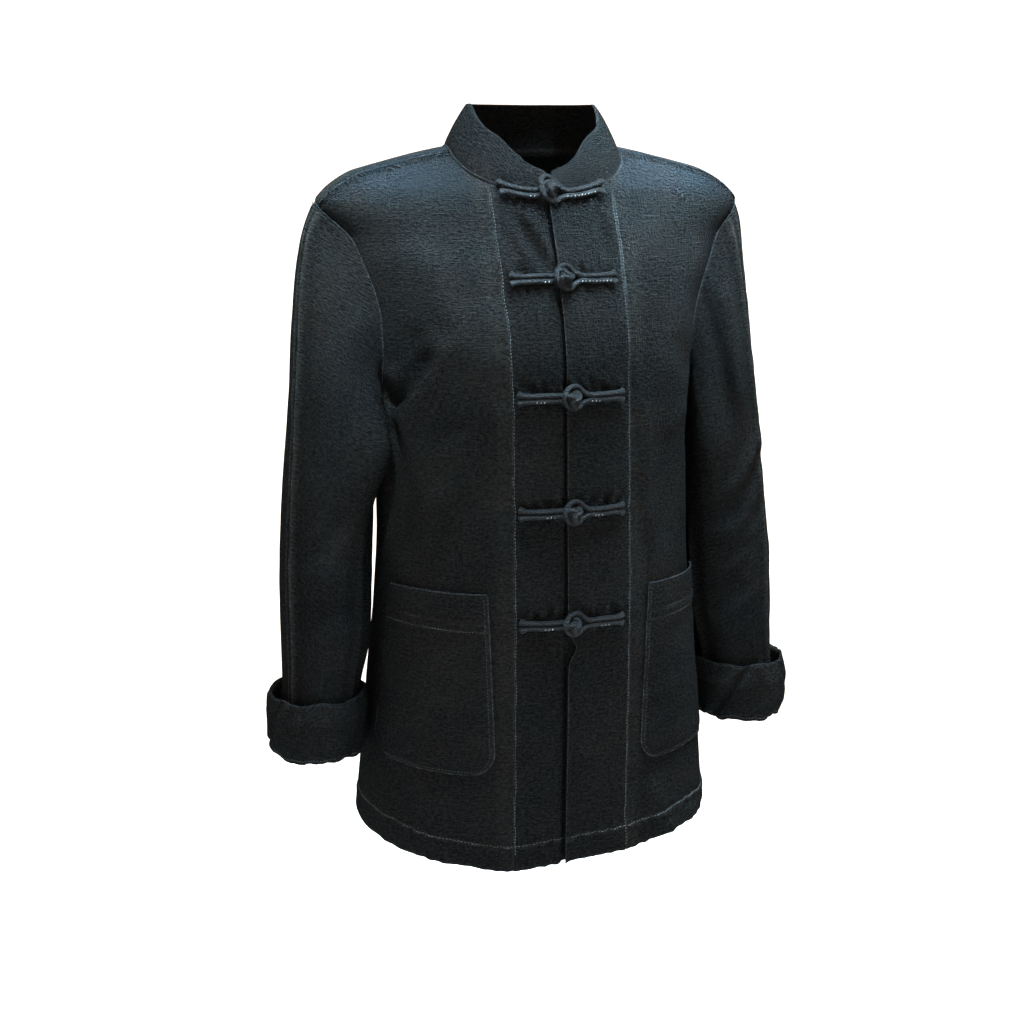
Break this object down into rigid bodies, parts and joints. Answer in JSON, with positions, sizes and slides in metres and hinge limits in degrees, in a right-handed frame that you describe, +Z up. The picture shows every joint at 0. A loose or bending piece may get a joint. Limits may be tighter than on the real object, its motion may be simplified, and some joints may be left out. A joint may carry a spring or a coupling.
{
  "type": "tang shirt",
  "caption": "Worn-form linen tang jacket with stand collar, frog closures, patch pockets and turned-up cuffs, hollow and open at neck, hem and cuffs.",
  "frame": {"origin": "middle of the neck at the height where collar and shoulder seams meet, where the wearer's neck and shoulders hold the garment", "axes": "+Z up, front towards -Y, the wearer's left towards +X"},
  "size_m": [0.5395, 0.2875, 0.7136],
  "materials": {
    "linen": "washed slub linen, blue-black, dry and matt, paler where it is rubbed and along its stitching",
    "cord": "bias-cut cord of the same linen, smooth and matt"
  },
  "bodies": {
    "root": {"back": "linen", "front_right": "linen", "front_left": "linen", "band_right": "linen", "band_left": "linen", "collar": "linen", "sleeve_right": "linen", "sleeve_left": "linen", "cuff_right": "linen", "cuff_left": "linen", "pocket_right": "linen", "pocket_left": "linen", "button_leg_1": "cord", "knot_1": "cord", "loop_1": "cord", "button_leg_2": "cord", "knot_2": "cord", "loop_2": "cord", "button_leg_3": "cord", "knot_3": "cord", "loop_3": "cord", "button_leg_4": "cord", "knot_4": "cord", "loop_4": "cord", "button_leg_5": "cord", "knot_5": "cord", "loop_5": "cord"}
  },
  "joints": []
}
